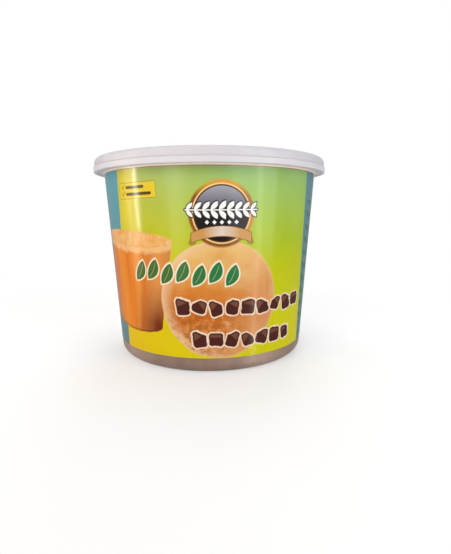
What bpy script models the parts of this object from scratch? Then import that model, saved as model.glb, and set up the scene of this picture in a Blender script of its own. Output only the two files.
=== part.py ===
# A shut round food tub: a tapered tub filled to its lid, the press-on lid, and the wrap label let into the wall.
# Metres, +Z up. The origin is the middle of the base, and the front of the label faces -Y.

import math

import bpy

MM = 0.001

# Driving dimensions
HEIGHT = 101.0 * MM  # floor to the crown of the lid
LID_RADIUS = 61.0 * MM  # outside of the bead at the foot of the lid's skirt
SKIRT_DEPTH = 7.0 * MM
WALL_TOP_RADIUS = 55.7 * MM  # tub wall, where it meets the rim
WALL_DRAFT = 0.064  # radius lost for each unit of height on the way down
FOOT_CORNER = 4.9 * MM  # radius of the corner between wall and base
LABEL_BOTTOM = 7.8 * MM
LABEL_TOP = 93.2 * MM
SEGMENTS = 80  # sides of every turned piece

# Clearances and small details
GAP = 0.3 * MM  # between pieces that touch
LABEL_THICKNESS = 0.4 * MM
LABEL_SEAM = 2.0 * MM  # bare strip between the label's two ends, at the back
SKIRT_WALL = 1.3 * MM
BEAD_DEPTH = 2.4 * MM  # height of the band at the foot of the skirt
BEAD_STEP = 0.45 * MM  # how far that band stands out
SKIRT_LEAN = 0.15 * MM  # how much the skirt widens on its way down to the band
CROWN_WIDTH = 4.6 * MM  # the raised ring round the top of the lid
CROWN_ROUND = 2.0 * MM
PANEL_DROP = 2.4 * MM  # how far the middle of the lid lies below the crown
PANEL_THICKNESS = 1.2 * MM
PANEL_STEP = 0.5 * MM  # the raised middle of the panel
PANEL_STEP_RADIUS = 44.0 * MM
RIM_RECESS = 0.5 * MM  # how far the tub's rim sits up inside the skirt
RIM_ROUND = 0.8 * MM
RING_WIDTH = 3.2 * MM  # flat ring that the tub stands on
BASE_RECESS = 0.8 * MM

SKIRT_FOOT = HEIGHT - SKIRT_DEPTH
RIM_BOTTOM = SKIRT_FOOT + RIM_RECESS
TUB_TOP = HEIGHT - PANEL_DROP - PANEL_THICKNESS - GAP
SKIRT_INSIDE = LID_RADIUS - BEAD_STEP - SKIRT_WALL
RIM_RADIUS = SKIRT_INSIDE - GAP


def wall_radius(height):
    return WALL_TOP_RADIUS - WALL_DRAFT * (RIM_BOTTOM - height)


def arc(centre_radius, centre_height, radius, start, end, steps):
    """Points of a round corner in the turning plane, from angle start to end in degrees (0 is outwards, 90 up)."""
    points = []
    for step in range(steps + 1):
        angle = math.radians(start + (end - start) * step / steps)
        points.append((centre_radius + radius * math.cos(angle), centre_height + radius * math.sin(angle)))
    return points


def plastic(name, colour, roughness):
    material = bpy.data.materials.new(name)
    material.use_nodes = True
    shader = material.node_tree.nodes["Principled BSDF"]
    shader.inputs["Base Color"].default_value = (*colour, 1.0)
    shader.inputs["Roughness"].default_value = roughness
    shader.inputs["Metallic"].default_value = 0.0
    return material


def add_object(name, vertices, edges, faces, material):
    mesh = bpy.data.meshes.new(name)
    mesh.from_pydata(vertices, edges, faces)
    mesh.materials.append(material)
    piece = bpy.data.objects.new(name, mesh)
    bpy.context.scene.collection.objects.link(piece)
    return piece


def turned(name, profile, material):
    """Solid turned about Z from a profile that runs from the axis at the top, down the outside, to the axis below."""
    vertices = [(radius, 0.0, height) for radius, height in profile]
    edges = [(index, index + 1) for index in range(len(profile) - 1)]
    piece = add_object(name, vertices, edges, [], material)
    screw = piece.modifiers.new("turn", "SCREW")
    screw.axis = "Z"
    screw.angle = math.tau
    screw.steps = SEGMENTS
    screw.render_steps = SEGMENTS
    screw.use_merge_vertices = True
    screw.merge_threshold = 1e-6
    screw.use_smooth_shade = True
    return piece


def make_tub():
    seat = LABEL_THICKNESS + GAP  # depth of the recess that the label lies in
    seat_top = LABEL_TOP + GAP
    seat_bottom = LABEL_BOTTOM - GAP
    corner = FOOT_CORNER
    corner_radius = wall_radius(corner) - corner
    ring_inside = corner_radius - RING_WIDTH
    profile = [(0.0, TUB_TOP)]
    profile += arc(RIM_RADIUS - RIM_ROUND, TUB_TOP - RIM_ROUND, RIM_ROUND, 90, 0, 3)
    profile += [
        (RIM_RADIUS, RIM_BOTTOM),
        (wall_radius(RIM_BOTTOM), RIM_BOTTOM),
        (wall_radius(seat_top), seat_top),
        (wall_radius(seat_top) - seat, seat_top),
        (wall_radius(seat_bottom) - seat, seat_bottom),
        (wall_radius(seat_bottom), seat_bottom),
    ]
    profile += arc(corner_radius, corner, corner, 0, -90, 6)
    profile += [
        (ring_inside, 0.0),
        (ring_inside - BASE_RECESS, BASE_RECESS),
        (0.0, BASE_RECESS),
    ]
    return turned("tub", profile, plastic("tub_plastic", (0.24, 0.16, 0.125), 0.4))


def make_lid():
    bead_top = SKIRT_FOOT + BEAD_DEPTH
    skirt_radius = LID_RADIUS - BEAD_STEP
    crown_radius = skirt_radius - SKIRT_LEAN
    crown_inside = crown_radius - CROWN_ROUND - CROWN_WIDTH
    panel = HEIGHT - PANEL_DROP
    underside = panel - PANEL_THICKNESS
    bead_round = 0.35 * MM
    inner_round = 1.0 * MM
    profile = [
        (0.0, panel + PANEL_STEP),
        (PANEL_STEP_RADIUS - PANEL_STEP, panel + PANEL_STEP),
        (PANEL_STEP_RADIUS, panel),
        (crown_inside - PANEL_DROP / 2, panel),
    ]
    profile += arc(crown_inside + inner_round, HEIGHT - inner_round, inner_round, 160, 90, 3)
    profile += arc(crown_radius - CROWN_ROUND, HEIGHT - CROWN_ROUND, CROWN_ROUND, 90, 0, 5)
    profile += [
        (skirt_radius, bead_top + BEAD_STEP),
        (LID_RADIUS, bead_top),
    ]
    profile += arc(LID_RADIUS - bead_round, SKIRT_FOOT + bead_round, bead_round, 0, -90, 2)
    profile += [
        (SKIRT_INSIDE, SKIRT_FOOT),
        (SKIRT_INSIDE, underside),
        (0.0, underside),
    ]
    return turned("lid", profile, plastic("lid_plastic", (0.69, 0.665, 0.70), 0.45))


def make_label():
    """Band of even thickness that follows the wall's taper and leaves a narrow seam open at the back (+Y)."""
    # The band's sides line up with the tub's, apart from its two ends, which stop short of the back.
    half_seam = LABEL_SEAM / 2 / wall_radius((LABEL_TOP + LABEL_BOTTOM) / 2)
    side = math.tau / SEGMENTS
    back = math.pi / 2
    angles = [back + half_seam]
    angles += [back + side * step for step in range(1, SEGMENTS)]
    angles += [back + math.tau - half_seam]
    vertices = []
    for angle in angles:
        # 1 on the corners of the turned sides, and less between them, where the flat side lies a little further in
        offset = (angle - back) % side
        flat = math.cos(side / 2) / math.cos(offset - side / 2)
        for height, inset in (
            (LABEL_TOP, 0.0),
            (LABEL_BOTTOM, 0.0),
            (LABEL_BOTTOM, LABEL_THICKNESS),
            (LABEL_TOP, LABEL_THICKNESS),
        ):
            radius = (wall_radius(height) - inset) * flat
            vertices.append((radius * math.cos(angle), radius * math.sin(angle), height))
    faces = [(3, 2, 1, 0)]
    for step in range(len(angles) - 1):
        for corner in range(4):
            following = (corner + 1) % 4
            here = 4 * step
            faces.append((here + corner, here + following, here + 4 + following, here + 4 + corner))
    last = 4 * (len(angles) - 1)
    faces.append((last, last + 1, last + 2, last + 3))
    label = add_object("label", vertices, [], faces, plastic("label_print", (0.42, 0.52, 0.06), 0.3))
    label.data.shade_smooth()
    label.data.set_sharp_from_angle(angle=math.radians(40))
    return label


def main():
    for item in list(bpy.data.objects):
        bpy.data.objects.remove(item)
    make_tub()
    make_lid()
    make_label()


main()
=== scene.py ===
import math

import bpy
import numpy as np
from mathutils import Matrix, Vector


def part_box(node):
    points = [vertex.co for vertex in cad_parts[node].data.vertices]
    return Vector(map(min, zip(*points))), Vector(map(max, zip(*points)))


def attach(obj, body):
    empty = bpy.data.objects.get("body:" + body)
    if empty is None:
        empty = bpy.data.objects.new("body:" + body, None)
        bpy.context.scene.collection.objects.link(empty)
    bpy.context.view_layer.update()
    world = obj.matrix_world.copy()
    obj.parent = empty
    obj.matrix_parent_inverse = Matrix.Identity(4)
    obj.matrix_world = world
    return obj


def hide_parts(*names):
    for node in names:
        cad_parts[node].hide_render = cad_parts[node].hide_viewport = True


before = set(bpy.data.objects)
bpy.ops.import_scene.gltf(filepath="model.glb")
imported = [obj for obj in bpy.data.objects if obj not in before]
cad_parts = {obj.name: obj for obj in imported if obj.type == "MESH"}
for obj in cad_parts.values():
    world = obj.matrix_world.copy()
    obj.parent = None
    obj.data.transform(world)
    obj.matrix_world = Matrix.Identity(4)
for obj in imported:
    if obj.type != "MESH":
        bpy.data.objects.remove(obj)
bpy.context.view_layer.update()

mm = 0.001

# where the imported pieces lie; everything below is worked out from these
lidLow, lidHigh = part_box("lid")
tubLow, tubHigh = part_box("tub")
labelLow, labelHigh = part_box("label")
height = lidHigh.z
lidRadius = lidHigh.x
skirtFoot = lidLow.z
rimRadius = tubHigh.x
tubTop = tubHigh.z
wallTop = labelHigh.x  # radius of the wall at the label's upper edge
wallDraft = 0.064


def wallRadius(z):
    # the wall is a cone: its radius falls by wallDraft for each unit of height on the way down
    return wallTop - wallDraft * (labelHigh.z - z)


def srgb(red, green, blue):
    # a colour as a picture shows it, 0 to 255, turned into linear light
    channels = np.array([red, green, blue]) / 255
    linear = np.where(channels <= 0.04045, channels / 12.92, ((channels + 0.055) / 1.055) ** 2.4)
    return (*linear.tolist(), 1.0)


def roundedPath(corners, steps=8, support=0.12 * mm):
    # a path through (r, z, rounding) corners. A rounded corner is the arc that touches both its straight
    # stretches: with half the corner's angle h, it starts rounding / tan h from the corner, and its centre
    # lies rounding / sin h along the bisector. A point a little before and after each arc keeps flats flat.
    points = [corners[0][:2]]
    for before, corner, after in zip(corners, corners[1:], corners[2:]):
        here = np.array(corner[:2])
        back = np.array(before[:2]) - here
        ahead = np.array(after[:2]) - here
        lengths = np.linalg.norm(back), np.linalg.norm(ahead)
        back = back / lengths[0]
        ahead = ahead / lengths[1]
        half = math.acos(np.clip(back @ ahead, -1, 1)) / 2
        reach = corner[2] / math.tan(half)
        bisector = (back + ahead) / np.linalg.norm(back + ahead)
        centre = here + bisector * corner[2] / math.sin(half)
        start = here + back * reach - centre
        end = here + ahead * reach - centre
        sweep = math.pi - 2 * half
        share = np.linspace(0, 1, steps + 1)[:, None]
        arc = centre + (np.sin((1 - share) * sweep) * start + np.sin(share * sweep) * end) / math.sin(sweep)
        if lengths[0] > 2 * (reach + support):
            points.append(here + back * (reach + support))
        points.extend(arc)
        if lengths[1] > 2 * (reach + support):
            points.append(here + ahead * (reach + support))
    points.append(corners[-1][:2])
    return np.array(points)


def addPiece(name, points, faces, material, node):
    mesh = bpy.data.meshes.new(name)
    mesh.from_pydata(points, [], faces)
    mesh.validate()
    mesh.shade_smooth()
    mesh.materials.append(material)
    piece = bpy.data.objects.new(name, mesh)
    bpy.context.scene.collection.objects.link(piece)
    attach(piece, "root")
    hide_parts(node)
    return piece


def turnedPiece(name, corners, sides, material, node):
    # a profile point (r, z) at angle a goes to (r cos a, r sin a, z); both ends of the profile lie on the
    # axis, where a fan of triangles closes them
    path = roundedPath(corners)
    rings = path[1:-1]
    angle = np.arange(sides) * math.tau / sides
    ring, side = np.meshgrid(np.arange(len(rings)), np.arange(sides), indexing="ij")
    radius = rings[ring, 0]
    body = np.stack([radius * np.cos(angle[side]), radius * np.sin(angle[side]), rings[ring, 1]], -1)
    body = body.reshape(-1, 3)
    poles = np.array([[0, 0, path[0, 1]], [0, 0, path[-1, 1]]])
    points = np.concatenate([body, poles])
    upper = ring[:-1] * sides + side[:-1]
    upperNext = ring[:-1] * sides + (side[:-1] + 1) % sides
    quads = np.stack([upper, upper + sides, upperNext + sides, upperNext], -1).reshape(-1, 4)
    around = np.arange(sides)
    following = (around + 1) % sides
    last = (len(rings) - 1) * sides
    top = np.stack([np.full(sides, len(body)), around, following], -1)
    bottom = np.stack([np.full(sides, len(body) + 1), last + following, last + around], -1)
    return addPiece(name, points, quads.tolist() + top.tolist() + bottom.tolist(), material, node)


class Wire:  # a socket that sums can be written with: each operator adds its Math node
    tree = None  # the node tree of the material that is being made

    def __init__(self, socket):
        self.socket = socket

    @classmethod
    def node(cls, kind, settings=None, inputs=None, output=0):
        # any node: its settings first, then a value or a wire for each named socket
        made = cls.tree.nodes.new(kind)
        for name, value in (settings or {}).items():
            if name == "stops":
                elements = made.color_ramp.elements
                while len(elements) < len(value):
                    elements.new(0.5)
                for element, (place, colour) in zip(elements, value):
                    element.position = place
                    element.color = colour
            else:
                setattr(made, name, value)
        for name, value in (inputs or {}).items():
            if isinstance(value, Wire):
                cls.tree.links.new(value.socket, made.inputs[name])
            else:
                made.inputs[name].default_value = value
        return cls(made.outputs[output])

    def math(self, operation, *others, clamp=False, first=None):
        # a Math node on this wire and the others, or on first and this wire
        values = [self if first is None else first, *others]
        if first is not None:
            values.append(self)
        settings = {"operation": operation, "use_clamp": clamp}
        return Wire.node("ShaderNodeMath", settings, dict(enumerate(values)))

    def __add__(self, other):
        return self.math("ADD", other)

    def __radd__(self, other):
        return self.math("ADD", other)

    def __sub__(self, other):
        return self.math("SUBTRACT", other)

    def __rsub__(self, other):
        return self.math("SUBTRACT", first=other)

    def __mul__(self, other):
        return self.math("MULTIPLY", other)

    def __rmul__(self, other):
        return self.math("MULTIPLY", other)

    def __truediv__(self, other):
        return self.math("DIVIDE", other)

    def __abs__(self):
        return self.math("ABSOLUTE")


def lesser(a, b):
    return a.math("MINIMUM", b)


def greater(a, b):
    return a.math("MAXIMUM", b)


def clamped(value):
    return value.math("MULTIPLY", 1.0, clamp=True)


def mask(value, gain, less):
    # a value stretched by gain, less an offset, and kept between 0 and 1
    return clamped(value * gain - less)


def rising(value, start, over):
    # 0 up to start, then evenly up to 1 over the given stretch
    return clamped((value - start) / over)


def peak(value, middle, reach, top=1):
    # top at the middle, down to 0 at top times reach to either side, and never more than 1
    return clamped(top - abs(value - middle) / reach)


def length2(x, y):
    return (x * x + y * y).math("SQRT")


def mixed(amount, low, high):
    # colour low where amount is 0, high where it is 1
    return Wire.node("ShaderNodeMix", {"data_type": "RGBA"}, {0: amount, 6: low, 7: high}, 2)


def noise(place, scale, detail=2.0, roughness=0.5):
    inputs = {"Vector": place, "Scale": scale, "Detail": detail, "Roughness": roughness}
    return Wire.node("ShaderNodeTexNoise", {}, inputs)


def squashed(place, share):
    # heights shrink to a share of themselves, so that noise here runs in upright streaks
    return Wire.node("ShaderNodeMapping", {}, {"Vector": place, "Scale": (1, 1, share)})


def ramp(value, stops):
    return Wire.node("ShaderNodeValToRGB", {"stops": stops}, {"Fac": value})


def newMaterial(name, values):
    # a Principled material; values sets its uniform sockets, and the rest is wired up afterwards
    material = bpy.data.materials.new(name)
    material.use_nodes = True
    Wire.tree = material.node_tree
    shader = Wire.tree.nodes["Principled BSDF"]
    for socket, value in values.items():
        shader.inputs[socket].default_value = value
    return material, shader


def feed(shader, **wires):
    # wires by socket name, with the spaces left out
    for name, wire in wires.items():
        socket = next(item for item in shader.inputs if item.name.replace(" ", "") == name)
        Wire.tree.links.new(wire.socket, socket)


def bumped(value, strength, distance):
    return Wire.node("ShaderNodeBump", {}, {"Height": value, "Strength": strength, "Distance": distance})


def objectPlace():
    return Wire.node("ShaderNodeTexCoord", output=3)


def parts(vector):
    split = Wire.node("ShaderNodeSeparateXYZ", {}, {0: vector}).socket.node
    return [Wire(socket) for socket in split.outputs]


# the tub: a frosted plastic wall over the brown sugar inside

tubLook = {
    "sides": 288,
    "footRounding": 4.9 * mm,
    "ringWidth": 3.2 * mm,
    "ringRounding": 0.3 * mm,
    "baseRise": 0.8 * mm,
    "gateRadius": 2.0 * mm,  # the moulding mark in the middle of the base
    "gateHeight": 0.35 * mm,
    "gateRounding": 0.1 * mm,
    "rimRounding": 0.5 * mm,
    "rimReach": 0.3 * mm,  # the rim fills the clearance inside the skirt
    "rimUp": 0.15 * mm,  # how far the rim's underside lies above the skirt's foot
    "rimLipRounding": 0.2 * mm,
    "neckRounding": 0.3 * mm,
    "roughness": 0.26,
    "grainRoughness": 0.12,  # what the grains add to it
    "lumps": {"scale": 55.0, "detail": 3.0, "roughness": 0.55},
    "lumpMask": (3, 1.0),
    "grains": {"scale": 420.0, "roughness": 0.6},
    "grainMask": (4, 2.4),
    "grainShare": 0.18,
    "streaks": {"scale": 160.0},
    "streakSquash": 0.15,
    "streakMask": (2.2, 0.9),
    "streakShare": 0.22,
    "sugar": srgb(148, 124, 111),
    "sugarDark": srgb(130, 106, 95),
    "touching": srgb(180, 154, 138),  # where the sugar touches the wall, and the painted highlight beside it
    "closeAt": 33 * mm,  # a painted highlight of the lamps, this far to the left and right of the shift below
    "closeShift": -7 * mm,
    "closeHalf": 15 * mm,
    "closeShare": 0.6,
    "fillLine": 91.5 * mm,
    "fillWander": 4 * mm,
    "fillEdge": 0.833 * mm,
    "emptyWall": srgb(240, 226, 216),
    "neckShade": srgb(166, 128, 104),
    "neckLine": 0.55 * mm,  # height of the shaded line over the label
    "neckEdge": 0.25 * mm,
    "rimWall": srgb(206, 203, 206),
    "rimFrom": 0.9 * mm,  # how far outside the wall the rim's own colour starts
    "rimEdge": 0.333 * mm,
    "skin": {"scale": 900.0},
    "skinBump": (0.12, 0.2 * mm),
}


def makeTubMaterial():
    look = tubLook
    material, shader = newMaterial("frostedWall", {"IOR": 1.49, "Specular IOR Level": 0.45})
    place = objectPlace()
    x, y, z = parts(place)
    lumps = noise(place, **look["lumps"])
    grains = noise(place, **look["grains"])
    streaks = noise(squashed(place, look["streakSquash"]), **look["streaks"])
    sugar = mixed(mask(lumps, *look["lumpMask"]), look["sugarDark"], look["sugar"])
    sugar = mixed(mask(streaks, *look["streakMask"]) * look["streakShare"], sugar, look["touching"])
    sugar = mixed(mask(grains, *look["grainMask"]) * look["grainShare"], sugar, look["touching"])
    # painted highlight: the sugar is painted paler on both sides, where the lamps shine on the wall
    wallSheen = peak(abs(x - look["closeShift"]), look["closeAt"], look["closeHalf"])
    sugar = mixed(wallSheen * look["closeShare"], sugar, look["touching"])
    filled = clamped((look["fillLine"] - z + (lumps - 0.5) * look["fillWander"]) / look["fillEdge"])
    shaded = clamped((labelHigh.z + look["neckLine"] - z) / look["neckEdge"])
    neck = mixed(shaded, look["emptyWall"], look["neckShade"])
    outside = rising(length2(x, y), wallTop + look["rimFrom"], look["rimEdge"])
    neck = mixed(outside, neck, look["rimWall"])
    feed(shader, BaseColor=mixed(filled, neck, sugar))
    feed(shader, Roughness=look["roughness"] + grains * look["grainRoughness"])
    feed(shader, Normal=bumped(noise(place, **look["skin"]), *look["skinBump"]))
    return material


def makeTub():
    look = tubLook
    rimBottom = skirtFoot + look["rimUp"]
    rim = rimRadius + look["rimReach"]
    foot = wallRadius(0) - look["footRounding"]
    ringInside = foot - look["ringWidth"]
    rise = look["baseRise"]
    gate = look["gateRadius"]
    corners = [
        (0, tubTop, 0),
        (rim, tubTop, look["rimRounding"]),
        (rim, rimBottom, look["rimLipRounding"]),
        (wallRadius(rimBottom), rimBottom, look["neckRounding"]),
        (wallRadius(0), 0, look["footRounding"]),
        (ringInside, 0, look["ringRounding"]),
        (ringInside - rise, rise, look["ringRounding"]),
        (gate + look["gateHeight"], rise, look["gateRounding"]),
        (gate, rise - look["gateHeight"], look["gateRounding"]),
        (0, rise - look["gateHeight"], 0),
    ]
    return turnedPiece("tubWall", corners, look["sides"], makeTubMaterial(), "tub")


# the lid: a frosted cap with a sunk panel

lidLook = {
    "sides": 320,
    "crownWidth": 4.6 * mm,
    "crownRounding": 2.3 * mm,
    "crownInnerRounding": 1.1 * mm,
    "panelDrop": 2.4 * mm,
    "panelRounding": 0.9 * mm,
    "panelThickness": 1.2 * mm,
    "stepRadius": 44.0 * mm,
    "stepHeight": 0.5 * mm,
    "stepRounding": 0.25 * mm,
    "ringRadius": 29.0 * mm,  # a fine raised ring on the panel
    "ringHeight": 0.25 * mm,
    "ringTopHalf": 0.3 * mm,
    "ringFootHalf": 0.9 * mm,
    "ringRounding": 0.3 * mm,
    "gateRadius": 1.8 * mm,
    "gateDepth": 0.3 * mm,
    "gateRounding": 0.1 * mm,
    "beadDepth": 2.4 * mm,
    "beadStep": 0.45 * mm,
    "beadRounding": 0.25 * mm,
    "skirtLean": 0.15 * mm,
    "skirtWall": 1.3 * mm,
    "skirtRounding": 0.4 * mm,
    "skirtInnerRounding": 0.3 * mm,
    "roughness": 0.36,
    "speckRoughness": 0.14,  # what the specks add to it
    "clouds": {"scale": 38.0, "detail": 3.0, "roughness": 0.55},
    "cloudMask": (2.4, 0.7),
    "specks": {"scale": 520.0, "roughness": 0.6},
    "speckMask": (4, 2.5),
    "speckShare": 0.2,
    "plastic": srgb(211, 208, 213),
    "thin": srgb(200, 197, 203),
    "clouded": srgb(224, 221, 224),  # on the bead as a painted highlight, and in the specks as the plastic's own clouding
    "cloudedAbove": 0.2 * mm,
    "cloudedEdge": 0.333 * mm,
    "cloudedShare": 0.3,
    "shade": srgb(172, 168, 174),  # the line in the step over the bead
    "shadeHalf": 0.3 * mm,
    "shadeMask": (3, 0.7),
    "shadeShare": 0.65,
    "skin": {"scale": 800.0},
    "skinBump": (0.1, 0.2 * mm),
    "cloudBump": 2,
}


def makeLidMaterial():
    look = lidLook
    material, shader = newMaterial("frostedLid", {
        "IOR": 1.49, "Specular IOR Level": 0.16,
        "Subsurface Weight": 0.12, "Subsurface Radius": (1.0, 0.95, 0.9), "Subsurface Scale": 2 * mm,
    })
    place = objectPlace()
    z = parts(place)[2]
    clouds = noise(place, **look["clouds"])
    specks = noise(place, **look["specks"])
    beadTop = skirtFoot + look["beadDepth"]
    # painted highlight: the bead is painted paler, as if lit from above
    beadLight = clamped((beadTop + look["cloudedAbove"] - z) / look["cloudedEdge"])
    colour = mixed(mask(clouds, *look["cloudMask"]), look["thin"], look["plastic"])
    colour = mixed(beadLight * look["cloudedShare"], colour, look["clouded"])
    line = peak(z, beadTop + look["beadStep"], look["shadeHalf"])
    colour = mixed(line * mask(clouds, *look["shadeMask"]) * look["shadeShare"], colour, look["shade"])
    colour = mixed(mask(specks, *look["speckMask"]) * look["speckShare"], colour, look["clouded"])
    feed(shader, BaseColor=colour)
    feed(shader, Roughness=look["roughness"] + specks * look["speckRoughness"])
    skin = noise(place, **look["skin"]) + clouds * look["cloudBump"]
    feed(shader, Normal=bumped(skin, *look["skinBump"]))
    return material


def makeLid():
    look = lidLook
    beadTop = skirtFoot + look["beadDepth"]
    skirt = lidRadius - look["beadStep"]
    skirtInside = skirt - look["skirtWall"]
    crown = skirt - look["skirtLean"]
    crownInside = crown - look["crownRounding"] - look["crownWidth"]
    panel = height - look["panelDrop"]
    underside = panel - look["panelThickness"]
    step = panel + look["stepHeight"]
    ring = look["ringRadius"]
    ringTop = step + look["ringHeight"]
    gate = look["gateRadius"]
    gateFloor = step - look["gateDepth"]
    corners = [
        (0, gateFloor, 0),
        (gate, gateFloor, look["gateRounding"]),
        (gate + look["gateDepth"], step, look["gateRounding"]),
        (ring - look["ringFootHalf"], step, look["ringRounding"]),
        (ring - look["ringTopHalf"], ringTop, look["ringRounding"]),
        (ring + look["ringTopHalf"], ringTop, look["ringRounding"]),
        (ring + look["ringFootHalf"], step, look["ringRounding"]),
        (look["stepRadius"] - look["stepHeight"], step, look["stepRounding"]),
        (look["stepRadius"], panel, look["stepRounding"]),
        (crownInside - look["panelRounding"], panel, look["panelRounding"]),
        (crownInside, height, look["crownInnerRounding"]),
        (crown, height, look["crownRounding"]),
        (skirt, beadTop + look["beadStep"], look["beadRounding"]),
        (lidRadius, beadTop, look["beadRounding"]),
        (lidRadius, skirtFoot, look["skirtRounding"]),
        (skirtInside, skirtFoot, look["skirtInnerRounding"]),
        (skirtInside, underside, look["skirtRounding"]),
        (0, underside, 0),
    ]
    return turnedPiece("lidCap", corners, look["sides"], makeLidMaterial(), "lid")


# the label: a printed film round the wall, laid out flat in millimetres

labelLook = {
    "columns": 720,
    "rows": 40,
    "seam": 2.0 * mm,  # bare strip at the back, between the two ends
    "proud": 0.1 * mm,
    "sunk": 0.15 * mm,
    "ripple": 0.02 * mm,
    "ripples": [(7, 60, 1.0), (17, -110, 0.6), (0, 240, 0.4)],  # turns, slope up the wall, and share
    "roughness": 0.12,
    "smears": {"scale": 300.0, "detail": 3.0},
    "smearRoughness": 0.08,  # what the smears add to it
    "waves": {"scale": 45.0},
    "waveBump": (0.1, 0.6 * mm),
}

labelCone = math.atan(wallDraft)  # half of the cone's angle


def flatPlace(angle, z):
    # unrolling the cone: a point lies at its slant distance s from the apex, and its angle round the axis
    # shrinks by the sine of the half angle, so it goes to (s sin b, s cos b), less the label's lower edge
    slant = wallRadius(z) / math.sin(labelCone)
    bend = angle * math.sin(labelCone)
    lowest = wallRadius(labelLow.z) / math.sin(labelCone)
    return slant * np.sin(bend), slant * np.cos(bend) - lowest + labelLow.z


def makeLabel(material):
    # a thin closed band: column c stands at angle a from the front, and its section runs down the outer face
    # and up the inner one. A point's radius is the wall's, plus the face's offset, plus small ripples
    look = labelLook
    rows = look["rows"]
    down = np.linspace(1, 0, rows)
    z = labelLow.z + (labelHigh.z - labelLow.z) * np.concatenate([down, down[::-1]])
    offset = np.repeat([look["proud"], -look["sunk"]], rows)
    halfTurn = math.pi - look["seam"] / 2 / wallRadius((labelLow.z + labelHigh.z) / 2)
    angle = np.linspace(-halfTurn, halfTurn, look["columns"])
    turn, level = np.meshgrid(angle, z, indexing="ij")
    ripples = sum(share * np.sin(turns * turn + slope * level) for turns, slope, share in look["ripples"])
    radius = wallRadius(level) + offset + look["ripple"] * ripples * (offset > 0)
    points = np.stack([radius * np.sin(turn), -radius * np.cos(turn), level], -1).reshape(-1, 3)
    around = 2 * rows
    column, row = np.meshgrid(np.arange(look["columns"] - 1), np.arange(around), indexing="ij")
    here = column * around + row
    below = column * around + (row + 1) % around
    quads = np.stack([here, below, below + around, here + around], -1).reshape(-1, 4)
    strip = np.arange(rows - 1)
    first = np.stack([strip, around - 1 - strip, around - 2 - strip, strip + 1], -1)
    last = first[:, ::-1] + (look["columns"] - 1) * around
    faces = np.concatenate([quads, first, last])
    piece = addPiece("labelFilm", points, faces.tolist(), material, "label")
    mesh = piece.data
    flatX, flatY = flatPlace(turn.reshape(-1), level.reshape(-1))
    corner = np.empty(len(mesh.loops), int)
    mesh.loops.foreach_get("vertex_index", corner)
    layer = mesh.uv_layers.new(name="flat")
    layer.uv.foreach_set("vector", np.stack([flatX[corner], flatY[corner]], -1).astype(np.float32).ravel())
    mesh.set_sharp_from_angle(angle=math.radians(50))
    return piece


# masks for flat shapes: 1 inside, 0 outside, with an edge as wide as soft, all in millimetres

def inside(distance, soft=0.12):
    return clamped(0.5 - distance / soft)


def turnedAbout(x, y, centreX, centreY, degrees):
    # coordinates seen from a centre, turned clockwise by an angle
    cosine = math.cos(math.radians(degrees))
    sine = math.sin(math.radians(degrees))
    dx = x - centreX
    dy = y - centreY
    return dx * cosine + dy * sine, dy * cosine - dx * sine


def boxDistance(x, y, halfWidth, halfHeight, rounding=0.0):
    # distance to a rectangle about the origin: the length of what sticks out past it, less the rounding
    outX = greater(abs(x) - (halfWidth - rounding), 0.0)
    outY = greater(abs(y) - (halfHeight - rounding), 0.0)
    return length2(outX, outY) - rounding


def leafDistance(x, y, halfLength, halfWidth):
    # a leaf is where two equal circles overlap; its tips lie on the x axis
    radius = (halfLength ** 2 + halfWidth ** 2) / (2 * halfWidth)
    away = radius - halfWidth
    return length2(x, abs(y) + away) - radius


def gradient(y, stops):
    # colours by height in millimetres, lowest first
    low, high = stops[0][0], stops[-1][0]
    placed = [((level - low) / (high - low), colour) for level, colour in stops]
    return ramp((y - low) / (high - low), placed)


fieldLook = {
    "left": -49.0,  # edges of the front panel
    "right": 54.2,
    "blue": [(8, srgb(92, 130, 132)), (93, srgb(94, 157, 172))],  # by height
    # painted shade: the blue darkens round the right side, as if turned from the light
    "deepBlue": srgb(78, 112, 116),
    "deepAt": 64,
    "deepReach": 26,
    "deepShare": 0.75,
    "green": [
        (8, srgb(206, 200, 10)),
        (34, srgb(196, 196, 10)),
        (50, srgb(184, 192, 16)),
        (60, srgb(170, 189, 38)),
        (72, srgb(162, 190, 72)),
        (84, srgb(154, 188, 98)),
        (93, srgb(146, 182, 116)),
    ],
    "warm": srgb(224, 186, 12),  # grows to the left of warmFrom, and less so higher up
    "warmFrom": 14,
    "warmOver": 75,
    "warmFoot": 1.2,
    "warmFall": 105,
    "sunny": srgb(226, 206, 66),  # a painted highlight: a pale upright band by the left edge
    "sunnyAt": -42,
    "sunnyReach": 7,
    "sunnyTop": 1.3,
    "sunnyFrom": 52,
    "sunnyOver": 20,
    "sunnyShare": 0.75,
    "shade": srgb(142, 176, 22),  # large soft patches
    "patches": {"scale": 34.0, "detail": 1.0},
    "patchMask": (5, 2.3),
    "patchFrom": 30,
    "patchOver": 30,
    "patchShare": 0.4,
}


def paintField(x, y, place):
    # blue round the back, and a panel at the front that runs from green down to yellow, warmer to the left,
    # with large soft darker patches in its upper part
    look = fieldLook
    blue = gradient(y, look["blue"])
    # painted shade on the blue round the right side
    blue = mixed(peak(x, look["deepAt"], look["deepReach"]) * look["deepShare"], blue, look["deepBlue"])
    green = gradient(y, look["green"])
    patches = mask(noise(place, **look["patches"]), *look["patchMask"])
    patches = patches * rising(y, look["patchFrom"], look["patchOver"])
    green = mixed(patches * look["patchShare"], green, look["shade"])
    warmth = clamped((look["warmFrom"] - x) / look["warmOver"]) * (look["warmFoot"] - y / look["warmFall"])
    green = mixed(warmth, green, look["warm"])
    # painted highlight: a pale upright band near the left edge, in the upper part
    sunny = peak(x, look["sunnyAt"], look["sunnyReach"], look["sunnyTop"])
    sunny = sunny * rising(y, look["sunnyFrom"], look["sunnyOver"])
    green = mixed(sunny * look["sunnyShare"], green, look["sunny"])
    middle = (look["left"] + look["right"]) / 2
    half = (look["right"] - look["left"]) / 2
    return mixed(inside(abs(x - middle) - half, 0.4), blue, green)


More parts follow.
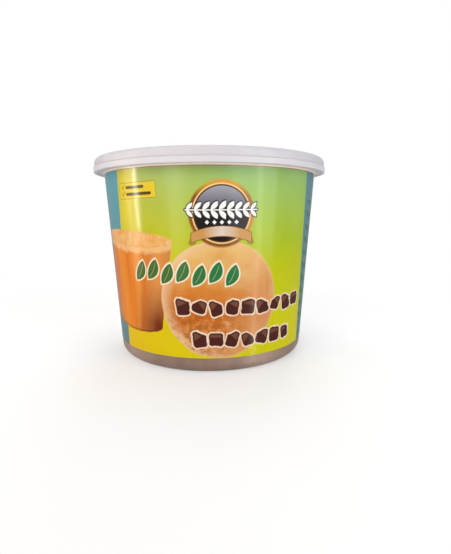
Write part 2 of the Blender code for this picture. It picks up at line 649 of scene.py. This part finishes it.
blockLook = {
    "centreX": -42.0,
    "slant": 0.02,
    "topY": 61.6,
    "topHalf": 24.6,
    "topRise": 3.4,
    "footY": 21.0,
    "footHalf": 19.4,
    "footRise": 4.4,
    "rough": {"scale": 260.0, "detail": 3.0},  # how ragged the edges are
    "sideRough": 0.7,
    "frontRough": 1.2,
    "footRough": 0.9,
    "facetRough": 0.12,
    "face": srgb(224, 160, 82),
    "faceEdge": srgb(234, 192, 132),
    "crumbs": {"scale": 330.0, "detail": 4.0, "roughness": 0.65},
    "crumbMask": (3.2, 1.2),
    "brinkHalf": 1.6,  # the crumbly edge under the face
    "brinkRough": 5,
    "brinkShare": 0.75,
    "facets": [  # colours across the side, from its left edge to its right
        (0.0, srgb(196, 116, 60)),
        (0.2, srgb(210, 120, 40)),
        (0.38, srgb(223, 128, 30)),
        (0.56, srgb(218, 122, 34)),
        (0.63, srgb(226, 146, 66)),
        (0.7, srgb(204, 112, 40)),
        (0.86, srgb(212, 142, 76)),
        (1.0, srgb(200, 128, 66)),
    ],
    "streaks": {"scale": 190.0, "detail": 3.0},
    "streakSquash": 0.1,
    "sideLight": srgb(230, 146, 46),
    "lightMask": (3.6, 1.5),
    "lightShare": 0.7,
    "sideDeep": srgb(116, 48, 20),
    "deepFrom": 1.1,
    "deepFall": 3.0,
    "deepShare": 0.5,
    "lowFrom": 1.1,  # the side also darkens low down, towards the right
    "lowFall": 2.2,
    "lowMask": (1.3, 0.1),
    "footLineHalf": 0.5,
    "footLineShare": 0.6,
}


def paintBlock(x, y, under, place):
    # a cast block of sugar: a cone's side between an elliptic top and a lower curve, with a crumbly
    # upper edge
    look = blockLook
    rough = noise(place, **look["rough"]) - 0.5
    share = (y - look["footY"]) / (look["topY"] - look["footY"])
    half = look["footHalf"] + share * (look["topHalf"] - look["footHalf"])
    across = (x - look["centreX"] + (look["topY"] - y) * look["slant"]) / half
    bow = greater(1 - across * across, 0.0).math("SQRT")
    sides = inside((abs(across) - 1) * half + rough * look["sideRough"], 0.35)
    backEdge = y - look["topY"] - bow * look["topRise"] + rough * look["sideRough"]
    frontEdge = look["topY"] - bow * look["topRise"] - y + rough * look["frontRough"]
    footEdge = look["footY"] - bow * look["footRise"] - y + rough * look["footRough"]
    streaks = noise(squashed(place, look["streakSquash"]), **look["streaks"])
    side = ramp((across + rough * look["facetRough"] + 1) / 2, look["facets"])
    side = mixed(mask(streaks, *look["lightMask"]) * look["lightShare"], side, look["sideLight"])
    deep = clamped(look["deepFrom"] - streaks * look["deepFall"])
    side = mixed(deep * look["deepShare"], side, look["sideDeep"])
    low = clamped(look["lowFrom"] - share * look["lowFall"])
    side = mixed(mask(across, *look["lowMask"]) * low, side, look["sideDeep"])
    crumbs = noise(place, **look["crumbs"])
    footLine = abs(footEdge + look["footLineHalf"]) - look["footLineHalf"]
    side = mixed(inside(footLine, 0.8) * look["footLineShare"], side, look["sideDeep"])
    brink = abs(frontEdge - look["brinkHalf"] + (crumbs - 0.5) * look["brinkRough"]) - look["brinkHalf"]
    side = mixed(inside(brink, 1.4) * look["brinkShare"], side, look["faceEdge"])
    face = mixed(mask(crumbs, *look["crumbMask"]), look["face"], look["faceEdge"])
    colour = mixed(inside(frontEdge, 0.6), side, face)
    return mixed(sides * inside(backEdge, 0.4) * inside(footEdge, 0.4), under, colour)


ballLook = {
    "centreX": 4.0,
    "centreY": 35.2,
    "radius": 27.3,
    "wobbles": {"scale": 130.0, "detail": 3.0},  # the uneven edge
    "wobble": 1.8,
    "heights": [  # colours by height on the label
        (8, srgb(208, 148, 84)),
        (28, srgb(194, 105, 30)),
        (40, srgb(206, 128, 52)),
        (58, srgb(222, 180, 106)),
    ],
    "clouds": {"scale": 70.0, "detail": 4.0, "roughness": 0.6},
    "cloudLift": 22,  # how far the clouds move those heights
    "cloudMask": (4, 2.1),
    "pale": srgb(224, 182, 134),
    "paleOver": 30,
    "paleShare": 0.5,
    "orange": srgb(208, 118, 36),
    "blotches": {"scale": 110.0, "detail": 3.0},
    "blotchMask": (4, 2.1),
    "blotchShare": 0.5,
    "rim": srgb(226, 190, 148),
    "rimFrom": 0.78,  # share of the radius where the pale rim starts
    "rimWobble": 1.5,
    "rimLeft": 0.35,
    "rimFade": 26,
    "rimShare": 0.9,
    "brink": 0.7,
    "brinkShare": 0.4,
    "scarX": 23.2,  # an upright crack near the right edge
    "scarSlope": 0.05,
    "scarHalf": 0.35,
    "scarY": 4,
    "scarReach": 14,
    "scarShare": 0.6,
    "crust": srgb(158, 88, 30),
    "grit": {"scale": 340.0, "detail": 6.0, "roughness": 0.72},
    "gritX": -9,  # the patch of coarse crumbs
    "gritY": -14,
    "gritReachX": 17,
    "gritReachY": 15,
    "gritFade": 1.25,
    "gritStrength": 1.6,
    "gritGain": 11,
    "gritDark": 5.3,
    "gritLight": 4.6,
    "gritDarkShare": 0.7,
    "gritLightShare": 0.6,
}


def paintBall(x, y, under, place):
    # a round lump of sugar: a disc with an uneven edge and cloudy patches, pale along its left rim, with
    # coarse crumbs low on the left
    look = ballLook
    radius = look["radius"]
    wobble = (noise(place, **look["wobbles"]) - 0.5) * look["wobble"]
    dx = x - look["centreX"]
    dy = y - look["centreY"]
    far = length2(dx, dy)
    clouds = noise(place, **look["clouds"])
    colour = gradient(y + (clouds - 0.5) * look["cloudLift"], look["heights"])
    # paler towards the right: partly the picture's own colour, partly a painted reflection of the gloss band
    colour = mixed(clamped(dx / look["paleOver"]) * look["paleShare"], colour, look["pale"])
    colour = mixed(mask(clouds, *look["cloudMask"]) * look["paleShare"], colour, look["pale"])
    blotches = mask(noise(place, **look["blotches"]), *look["blotchMask"])
    colour = mixed(blotches * look["blotchShare"], colour, look["orange"])
    rimFrom = radius * look["rimFrom"]
    rim = clamped((far - rimFrom + wobble * look["rimWobble"]) / (radius - rimFrom))
    leftward = clamped(look["rimLeft"] - dx / look["rimFade"])
    colour = mixed(rim * leftward * look["rimShare"], colour, look["rim"])
    scar = abs(dx - look["scarX"] + dy * look["scarSlope"] + wobble * 0.3) - look["scarHalf"]
    scar = inside(scar, 0.7) * peak(dy, look["scarY"], look["scarReach"])
    colour = mixed(scar * look["scarShare"], colour, look["orange"])
    grit = noise(place, **look["grit"]) * look["gritGain"]
    away = length2((dx - look["gritX"]) / look["gritReachX"], (dy - look["gritY"]) / look["gritReachY"])
    patch = clamped(look["gritFade"] - away) * look["gritStrength"]
    dark = clamped(clamped(grit - look["gritDark"]) * patch)
    colour = mixed(dark * look["gritDarkShare"], colour, look["crust"])
    light = clamped(clamped(look["gritLight"] - grit) * patch)
    colour = mixed(light * look["gritLightShare"], colour, look["rim"])
    brink = inside(radius - look["brink"] - wobble - far, 0.8)
    colour = mixed(brink * look["brinkShare"], colour, look["rim"])
    return mixed(inside(far - radius + wobble, 0.5), under, colour)


sealLook = {
    "centreX": 4.8,
    "centreY": 73.6,
    "radius": 14.4,
    "goldTop": srgb(206, 170, 44),
    "goldSide": srgb(138, 80, 34),
    "goldMask": (2.2, 1.1),
    "goldLight": srgb(214, 148, 76),
    "sheen": (2.6, 1.7),  # how fast the sheen comes and goes across and upwards
    "sheenShare": 0.6,
    "sheenBase": 0.15,
    "line": srgb(238, 202, 136),
    "lineIn": 1.5,  # how far each ring lies inside the seal's edge
    "gap": srgb(84, 46, 26),
    "gapIn": 2.1,
    "discIn": 2.7,
    "disc": [  # colours by height over the middle
        (-11.5, srgb(28, 24, 24)),
        (-1.0, srgb(34, 30, 32)),
        (2.0, srgb(74, 74, 84)),
        (11.5, srgb(158, 158, 168)),
    ],
    "white": srgb(238, 238, 236),
    "outline": srgb(52, 44, 42),
    "outlineWidth": 0.5,
    "stemY": 1.6,
    "stemHalf": 16.0,
    "stemWidth": 0.25,
    "leafPitch": 3.5,
    "leafPairs": 9,
    "leafLean": 46,  # degrees from the stem
    "leafForward": 1.4,
    "leafOut": 2.5,
    "leafHalf": 2.3,
    "leafWidth": 0.95,
    "leafSize": 1.15,  # of the middle pair, and how much smaller each next pair is
    "leafShrink": 0.07,
    "studPitch": 3.2,
    "studY": -3.6,
    "studHalf": 0.95,
    "studReach": 8.0,
    "band": srgb(196, 146, 84),
    "bandLight": srgb(214, 200, 186),
    "bandFade": 8,
    "bandDark": srgb(126, 72, 34),
    "bandY": -7.4,
    "bandHalf": 13.3,
    "bandTall": 2.1,
    "bandArch": 0.017,
    "bandLine": 0.3,
    "tailDrop": 1.5,
    "tailHalf": 2.0,
    "tailTall": 1.9,
    "notchSlope": 0.7,
    "notchIn": 0.6,
}


def paintSeal(x, y, under):
    # a plain round seal: gold ring, dark disc, a white sprig across it, a row of studs, and a curved band
    look = sealLook
    dx = x - look["centreX"]
    dy = y - look["centreY"]
    past = length2(dx, dy) - look["radius"]
    shareX = dx / look["radius"]
    shareY = dy / look["radius"]
    gold = mixed(mask(shareY, *look["goldMask"]), look["goldSide"], look["goldTop"])
    sheenX, sheenY = look["sheen"]
    sheen = (shareX * sheenX + shareY * sheenY).math("SINE")
    gold = mixed(clamped(sheen * look["sheenShare"] + look["sheenBase"]), gold, look["goldLight"])
    colour = mixed(inside(past, 0.9), under, gold)
    colour = mixed(inside(past + look["lineIn"], 0.25), colour, look["line"])
    colour = mixed(inside(past + look["gapIn"], 0.25), colour, look["gap"])
    colour = mixed(inside(past + look["discIn"], 0.2), colour, gradient(dy, look["disc"]))
    sprig = sealSprig(dx, dy)
    colour = mixed(inside(sprig - look["outlineWidth"], 0.3), colour, look["outline"])
    colour = mixed(inside(sprig, 0.2), colour, look["white"])
    pitch = look["studPitch"]
    studX = ((dx / pitch + 0.5).math("FRACT") - 0.5) * pitch
    stud = abs(studX) + abs(dy - look["studY"]) - look["studHalf"]
    studs = inside(stud, 0.25) * inside(abs(dx) - look["studReach"], 0.2)
    return sealBand(dx, dy, mixed(studs, colour, look["white"]))


def sealSprig(dx, dy):
    # distance to a stem with pairs of leaves that shrink towards both its ends
    look = sealLook
    pitch = look["leafPitch"]
    pairs = look["leafPairs"]
    along = dx / pitch + pairs / 2
    cell = lesser(greater(along.math("FLOOR"), 0.0), pairs - 1.0)
    size = look["leafSize"] - abs(cell - (pairs - 1) / 2) * look["leafShrink"]
    lean = math.radians(look["leafLean"])
    leafX = (along - cell - 0.5) * pitch + look["leafForward"]
    leafY = abs(dy - look["stemY"])
    outward = leafX * math.cos(lean) + leafY * math.sin(lean)
    across = leafY * math.cos(lean) - leafX * math.sin(lean)
    leaf = leafDistance(outward / size - look["leafOut"], across / size, look["leafHalf"], look["leafWidth"])
    return lesser(leaf, boxDistance(dx, dy - look["stemY"], look["stemHalf"], look["stemWidth"], 0.2))


def sealBand(dx, dy, under):
    # an arched band, whose notched tails lie lower and behind
    look = sealLook
    half = look["bandHalf"]
    span = abs(dx)
    arch = dy - look["bandY"] + dx * dx * look["bandArch"]
    low = arch + look["tailDrop"]
    tails = boxDistance(span - half, low, look["tailHalf"], look["tailTall"])
    notch = abs(low) * look["notchSlope"] - (half + look["tailHalf"] - span)
    colour = mixed(inside(greater(tails, notch + look["notchIn"]), 0.25), under, look["bandDark"])
    edge = boxDistance(dx, arch, half, look["bandTall"], 0.2)
    band = mixed(clamped(1 - span / look["bandFade"]), look["band"], look["bandLight"])
    colour = mixed(inside(edge - look["bandLine"], 0.2), colour, look["bandDark"])
    return mixed(inside(edge, 0.2), colour, band)


tagLook = {
    "centreX": -35.8,
    "centreY": 83.2,
    "turn": 3.5,
    "halfWidth": 11.4,
    "halfHeight": 3.4,
    "rounding": 0.5,
    "yellow": srgb(222, 196, 48),
    "ink": srgb(66, 46, 18),
    "border": 0.2,
    "borderShare": 0.7,
    "bars": [(1.5, -6.4, 5.2), (-1.5, -6.4, 9.0)],  # height, left end and right end
    "barHalf": 0.68,
    "barRounding": 0.6,
    "barShare": 0.95,
    "strokes": [(-9.0, -0.1, -45, 0.7), (-8.1, 0.3, 45, 1.3)],  # of a tick: place, turn and half length
    "strokeHalf": 0.22,
}


def paintTag(x, y, under):
    # a small tilted tag with two plain bars, each behind a tick
    look = tagLook
    tagX, tagY = turnedAbout(x, y, look["centreX"], look["centreY"], look["turn"])
    edge = boxDistance(tagX, tagY, look["halfWidth"], look["halfHeight"], look["rounding"])
    colour = mixed(inside(edge - look["border"], 0.2) * look["borderShare"], under, look["ink"])
    colour = mixed(inside(edge, 0.15), colour, look["yellow"])
    for barY, left, right in look["bars"]:
        half = (right - left) / 2
        mark = boxDistance(tagX - (left + right) / 2, tagY - barY, half, look["barHalf"], look["barRounding"])
        for strokeX, up, turn, reach in look["strokes"]:
            along, across = turnedAbout(tagX, tagY, strokeX, barY + up, turn)
            mark = lesser(mark, boxDistance(along, across, reach, look["strokeHalf"]))
        colour = mixed(inside(mark, 0.2) * look["barShare"], colour, look["ink"])
    return colour


rowLook = {
    "haloWidth": 0.7,
    "leafTilt": 24,  # degrees from upright
    "leafHalf": 5.2,
    "leafWidth": 2.6,
    "leafBend": 0.03,
    "leafLift": 0.7,  # every other leaf stands this much higher, and the rest as much lower
    "leaf": srgb(42, 116, 62),
    "leafDeep": srgb(74, 106, 44),
    "deepMask": (0.25, 0.2),
    "veinHalf": 0.1,
    "veinReach": 0.7,
    "veinShare": 0.5,
    "halo": srgb(236, 222, 196),
    "nuggetHalfWidth": 3.05,
    "nuggetHalfHeight": 3.55,
    "nuggetRounding": 1.5,
    "widthWave": (1.7, 0.6, 0.3),  # how fast, from where and how much the nuggets differ
    "heightWave": (2.9, 1.1, 0.5),
    "nuggetWave": 2.4,
    "nuggetLean": 0.3,
    "nuggetCut": (0.7, 2.4),
    "nuggetRough": 1.2,
    "lumps": {"scale": 300.0},
    "nugget": srgb(74, 36, 28),
    "nuggetLight": srgb(136, 88, 66),
    "lightIn": 0.7,
    "lightFrom": 1.0,
    "lightLean": 0.8,
    "lightShare": 0.55,
    "nuggetHalo": srgb(234, 210, 186),
}


def inRow(x, y, row):
    # coordinates in a row's own cells: across each cell from its middle, and the cell's number
    rowX, rowY = turnedAbout(x, y, row["centreX"], row["centreY"], row["turn"])
    count = row["count"]
    along = rowX / row["pitch"] + count / 2
    cell = lesser(greater(along.math("FLOOR"), 0.0), count - 1.0)
    return (along - cell - 0.5) * row["pitch"], rowY, cell


leafRow = {"centreX": -12.5, "centreY": 47.2, "turn": -0.5, "pitch": 7.4, "count": 7}
nuggetRows = [
    {"centreX": 17.0, "centreY": 31.6, "turn": -1.5, "pitch": 7.5, "count": 9},
    {"centreX": 17.0, "centreY": 16.4, "turn": -2.0, "pitch": 7.5, "count": 7},
]


def waved(cell, wave):
    # a value that differs from cell to cell, by a sine
    pace, start, size = wave
    return (cell * pace + start).math("SINE") * size


def paintLeaves(x, y, under):
    # a row of tilted leaves, each with a vein and a pale halo
    look = rowLook
    cellX, cellY, cell = inRow(x, y, leafRow)
    lifted = cellY - (cell.math("PINGPONG", 1.0) * 2 - 1) * look["leafLift"]
    tilt = math.radians(look["leafTilt"])
    leafX = lifted * math.cos(tilt) + cellX * math.sin(tilt)
    leafY = cellX * math.cos(tilt) - lifted * math.sin(tilt) + leafX * leafX * look["leafBend"]
    far = leafDistance(leafX, leafY, look["leafHalf"], look["leafWidth"])
    vein = inside(abs(leafY) - look["veinHalf"], 0.15)
    vein = vein * inside(abs(leafX) - look["leafHalf"] * look["veinReach"], 0.3) * look["veinShare"]
    ink = mixed(mask(cell, *look["deepMask"]), look["leafDeep"], look["leaf"])
    colour = mixed(inside(far - look["haloWidth"], 0.3), under, look["halo"])
    return mixed(inside(far, 0.2), colour, mixed(vein, ink, look["halo"]))


def paintNuggets(x, y, under, place):
    # rows of sugar nuggets: rounded boxes that lean, each cut off by a slanting line, with a pale halo
    look = rowLook
    colour = under
    uneven = (noise(place, **look["lumps"]) - 0.5) * look["nuggetRough"]
    rounding = look["nuggetRounding"]
    cutSlope, cutAt = look["nuggetCut"]
    for row in nuggetRows:
        cellX, cellY, cell = inRow(x, y, row)
        wave = waved(cell, (look["nuggetWave"], row["count"], 1))
        halfWidth = waved(cell, look["widthWave"]) + look["nuggetHalfWidth"]
        halfHeight = waved(cell, look["heightWave"]) + look["nuggetHalfHeight"]
        lean = wave * look["nuggetLean"]
        leanX = cellX + cellY * lean
        leanY = cellY - cellX * lean + lean
        outX = greater(abs(leanX) - halfWidth + rounding, 0.0)
        outY = greater(abs(leanY) - halfHeight + rounding, 0.0)
        cut = (leanX * wave + leanY) * cutSlope - cutAt
        far = greater(length2(outX, outY) - rounding, cut) + uneven
        colour = mixed(inside(far - look["haloWidth"], 0.3), colour, look["nuggetHalo"])
        lit = inside(look["lightFrom"] - leanY + leanX * wave * look["lightLean"], 0.5)
        lit = lit * inside(far + look["lightIn"], 0.5) * look["lightShare"]
        nugget = mixed(lit, look["nugget"], look["nuggetLight"])
        colour = mixed(inside(far, 0.2), colour, nugget)
    return colour


backLook = {
    "centreAngle": 124,  # degrees from the front to the middle of each back panel
    "centreZ": 50.0,
    "halfWidth": 26.0,
    "halfHeight": 33.0,
    "rounding": 2.0,
    "paper": srgb(236, 230, 206),
    "border": 1.2,
    "borderHalf": 0.2,
    "margin": 5,  # from a panel's edge to what is on it
    "headBar": srgb(46, 112, 70),
    "headDrop": 7,
    "headHalf": 2.4,
    "headRounding": 0.6,
    "ink": srgb(48, 84, 60),
    "linePitch": 4.2,
    "linesY": -3.5,
    "linesMargin": 10,
    "barHalf": 0.6,
    "barRight": 14.5,
    "barWave": (2.3, 0, 4.5),
    "ruleHalf": 0.12,
    "columnX": 4,
    "columnHalf": 0.15,
    "wordHalf": 0.55,
    "words": [(-11, 7, (1.9, 0, 2.5)), (13, 3, (2.7, 0, 1))],  # middle, half length and how it differs
    "sprigAngles": {1: 66, -1: 80},
    "sprigHalf": 30.0,
    "sprigPitch": 6.5,
    "stemHalf": 0.25,
    "leafForward": 1.5,
    "leafSlope": (0.8, 0.6),  # cosine and sine of the leaves' lean from level
    "leafOut": 3.4,
    "leafHalf": 3.0,
    "leafWidth": 1.15,
    "leaf": srgb(40, 104, 72),
}


def onWall(x, y, degrees, z):
    # upright coordinates about the point at an angle from the front and a height, both in millimetres
    centreX, centreY = flatPlace(math.radians(degrees), z * mm)
    return turnedAbout(x, y, centreX / mm, centreY / mm, -degrees * math.sin(labelCone))


def wallSprig(x, y, degrees):
    # distance to an upright stem with a pair of leaves in each cell
    look = backLook
    sprigX, sprigY = onWall(x, y, degrees, look["centreZ"])
    pitch = look["sprigPitch"]
    cell = (sprigY / pitch).math("FLOOR")
    along = sprigY - (cell + 0.5) * pitch + look["leafForward"]
    cosine, sine = look["leafSlope"]
    outward = abs(sprigX) * cosine + along * sine
    across = along * cosine - abs(sprigX) * sine
    leaf = leafDistance(outward - look["leafOut"], across, look["leafHalf"], look["leafWidth"])
    stem = boxDistance(sprigX, sprigY, look["stemHalf"], look["sprigHalf"])
    return greater(lesser(leaf, stem), abs(sprigY) - look["sprigHalf"])


def panelBars(panelX, lineY, line):
    # distance to one bar in each line, with ragged right ends
    look = backLook
    left = look["margin"] - look["halfWidth"]
    right = look["barRight"] - waved(line, look["barWave"])
    return greater(abs(lineY) - look["barHalf"], greater(left - panelX, panelX - right))


def panelTable(panelX, lineY, line):
    # distance to a ruled table: rules between the lines, one column rule, and two short bars in each line
    look = backLook
    rules = abs(abs(lineY) - look["linePitch"] / 2) - look["ruleHalf"]
    table = lesser(rules, abs(panelX - look["columnX"]) - look["columnHalf"])
    for middle, half, wave in look["words"]:
        ends = abs(panelX - middle) - half - waved(line, wave)
        table = lesser(table, greater(abs(lineY) - look["wordHalf"], ends))
    return greater(table, abs(panelX) - look["halfWidth"] + look["margin"])


def paintBack(x, y, under):
    # round the back: a panel of plain bars, a plain ruled table, and a tall sprig at each side
    look = backLook
    colour = under
    half = look["halfWidth"]
    tall = look["halfHeight"]
    pitch = look["linePitch"]
    for side, sprigAngle in look["sprigAngles"].items():
        panelX, panelY = onWall(x, y, side * look["centreAngle"], look["centreZ"])
        edge = boxDistance(panelX, panelY, half, tall, look["rounding"])
        colour = mixed(inside(edge, 0.2), colour, look["paper"])
        border = abs(edge + look["border"]) - look["borderHalf"]
        colour = mixed(inside(border, 0.15), colour, look["headBar"])
        line = (panelY / pitch).math("FLOOR")
        lineY = panelY - (line + 0.5) * pitch
        pattern = panelBars if side > 0 else panelTable
        within = inside(abs(panelY - look["linesY"]) - (tall - look["linesMargin"]), 0.2)
        colour = mixed(inside(pattern(panelX, lineY, line), 0.15) * within, colour, look["ink"])
        headY = panelY - tall + look["headDrop"]
        head = boxDistance(panelX, headY, half - look["margin"], look["headHalf"], look["headRounding"])
        colour = mixed(inside(head, 0.2), colour, look["headBar"])
        colour = mixed(inside(wallSprig(x, y, side * sprigAngle), 0.2), colour, look["leaf"])
    return colour


def makeLabelMaterial():
    look = labelLook
    material, shader = newMaterial("printedFilm", {"IOR": 1.5, "Specular IOR Level": 0.13})
    place = objectPlace()
    flatX, flatY = parts(Wire.node("ShaderNodeUVMap", {"uv_map": "flat"}))[:2]
    x = flatX / mm
    y = flatY / mm
    colour = paintBack(x, y, paintField(x, y, place))
    colour = paintBlock(x, y, colour, place)
    colour = paintBall(x, y, colour, place)
    colour = paintLeaves(x, y, colour)
    colour = paintNuggets(x, y, colour, place)
    colour = paintTag(x, y, colour)
    colour = paintSeal(x, y, colour)
    feed(shader, BaseColor=colour)
    feed(shader, Roughness=look["roughness"] + noise(place, **look["smears"]) * look["smearRoughness"])
    feed(shader, Normal=bumped(noise(place, **look["waves"]), *look["waveBump"]))
    return material


makeTub()
print("tub made")
makeLid()
print("lid made")
makeLabel(makeLabelMaterial())
print("label made")

# the floor, lamps and camera

stageLook = {
    "floorSize": 6.0,
    "floorGap": 0.05 * mm,
    "floor": srgb(250, 250, 250),
    "whiteFrom": 0.08,  # the floor turns to plain white between these distances from the tub
    "whiteTo": 0.35,
    "nearWhite": 0.45,  # share of plain white close to it
    "skyStrength": 0.35,
}


def makeFloor():
    look = stageLook
    half = look["floorSize"] / 2
    mesh = bpy.data.meshes.new("floor")
    low = -look["floorGap"]
    corners = [(-half, -half, low), (half, -half, low), (half, half, low), (-half, half, low)]
    mesh.from_pydata(corners, [], [(0, 1, 2, 3)])
    material, shader = newMaterial("paleFloor", {"Base Color": look["floor"], "Roughness": 0.9})
    x, y = parts(objectPlace())[:2]
    white = Wire.node("ShaderNodeEmission", {}, {"Color": (1, 1, 1, 1), "Strength": 1.0})
    rays = Wire.node("ShaderNodeLightPath").socket.node
    seen = Wire(rays.outputs["Is Camera Ray"])
    away = rising(length2(x, y), look["whiteFrom"], look["whiteTo"] - look["whiteFrom"])
    share = away * (1 - look["nearWhite"]) + look["nearWhite"]
    lit = Wire(shader.outputs[0])
    mix = Wire.node("ShaderNodeMixShader", {}, {0: seen * share, 1: lit, 2: white})
    output = Wire.tree.nodes["Material Output"]
    Wire.tree.links.new(mix.socket, output.inputs["Surface"])
    mesh.materials.append(material)
    floor = bpy.data.objects.new("floor", mesh)
    floor.visible_glossy = False  # so that the strips reach down to the foot of the tub
    bpy.context.scene.collection.objects.link(floor)


def makeSky():
    world = bpy.data.worlds.new("studio")
    bpy.context.scene.world = world
    world.use_nodes = True
    Wire.tree = world.node_tree
    rays = Wire.node("ShaderNodeLightPath").socket.node
    seen = greater(Wire(rays.outputs["Is Camera Ray"]), Wire(rays.outputs["Is Transmission Ray"]))
    strength = stageLook["skyStrength"] + seen * (1 - stageLook["skyStrength"])
    sky = Wire.node("ShaderNodeBackground", {}, {"Color": (1, 1, 1, 1), "Strength": strength})
    Wire.tree.links.new(sky.socket, Wire.tree.nodes["World Output"].inputs["Surface"])


lampLook = {  # the soft boxes light the tub, and the strips only show in its gloss
    "key": {
        "place": (-0.55, -0.9, 0.7), "size": (0.7, 0.7),
        "power": 5.5, "colour": (1.0, 0.95, 0.91),
    },
    "warm": {
        "place": (-0.7, -0.3, 0.25), "size": (0.4, 0.4),
        "power": 0.9, "colour": (1.0, 0.78, 0.64),
    },
    "fill": {
        "place": (0.8, -0.7, 0.5), "size": (0.7, 0.7),
        "power": 4.2, "colour": (0.96, 0.98, 1.0),
    },
    "back": {
        "place": (0.2, 1.1, 0.5), "size": (0.8, 0.8),
        "power": 7.0, "colour": (1.0, 1.0, 1.0),
    },
    "top": {
        "place": (0.0, 0.2, 1.1), "size": (0.8, 0.8),
        "power": 4.2, "colour": (1.0, 1.0, 1.0),
    },
}
stripLook = {
    "streak": {
        "place": (-0.42, -0.083, 0.17), "size": (0.016, 0.3),
        "power": 1.1, "colour": (1.0, 0.96, 0.84),
    },
    "leftGlow": {
        "place": (-0.43, -0.03, 0.14), "size": (0.11, 0.36),
        "power": 0.6, "colour": (1.0, 0.84, 0.68),
    },
    "leftBand": {
        "place": (-0.364, -0.539, 0.2), "size": (0.2, 0.6),
        "power": 1.5, "colour": (1.0, 1.0, 1.0),
    },
    "rightWall": {
        "place": (0.47, -0.47, 0.2), "size": (0.62, 0.6),
        "power": 5.5, "colour": (1.0, 1.0, 1.0),
    },
    "rightBand": {
        "place": (0.483, -0.401, 0.0), "size": (0.07, 1.0),
        "power": 1.5, "colour": (1.0, 1.0, 1.0),
    },
}


def makeLamp(name, look, level, strip):
    # a rectangular lamp that faces the tub from the given place
    lamp = bpy.data.lights.new(name, "AREA")
    lamp.shape = "RECTANGLE"
    lamp.size, lamp.size_y = look["size"]
    lamp.energy = look["power"]
    lamp.color = look["colour"]
    holder = bpy.data.objects.new(name, lamp)
    holder.location = look["place"]
    aim = Vector((0, 0, level)) - holder.location
    holder.rotation_euler = aim.to_track_quat("-Z", "Y").to_euler()
    holder.visible_camera = False
    holder.visible_glossy = strip
    holder.visible_diffuse = not strip
    bpy.context.scene.collection.objects.link(holder)


def makeLamps():
    for name, look in lampLook.items():
        makeLamp(name, look, height / 2, False)
    for name, look in stripLook.items():
        makeLamp(name, look, look["place"][2], True)


cameraLook = {
    "back": 0.2281,
    "height": 0.07346,
    "tiltDown": 8.892,
    "turnRight": 2.057,
    "roll": -0.166,
    "lens": 26.28,
}


def makeCamera():
    look = cameraLook
    data = bpy.data.cameras.new("camera")
    data.lens = look["lens"]
    data.sensor_width = 36.0
    data.clip_start = 0.01
    camera = bpy.data.objects.new("camera", data)
    turn = Matrix.Rotation(-math.radians(look["turnRight"]), 4, "Z")
    tilt = Matrix.Rotation(math.radians(90 - look["tiltDown"]), 4, "X")
    roll = Matrix.Rotation(math.radians(look["roll"]), 4, "Z")
    camera.matrix_world = Matrix.Translation((0, -look["back"], look["height"])) @ turn @ tilt @ roll
    bpy.context.scene.collection.objects.link(camera)
    bpy.context.scene.camera = camera


makeFloor()
makeSky()
makeLamps()
makeCamera()
bpy.context.scene.view_settings.view_transform = "Standard"
print("stage made")
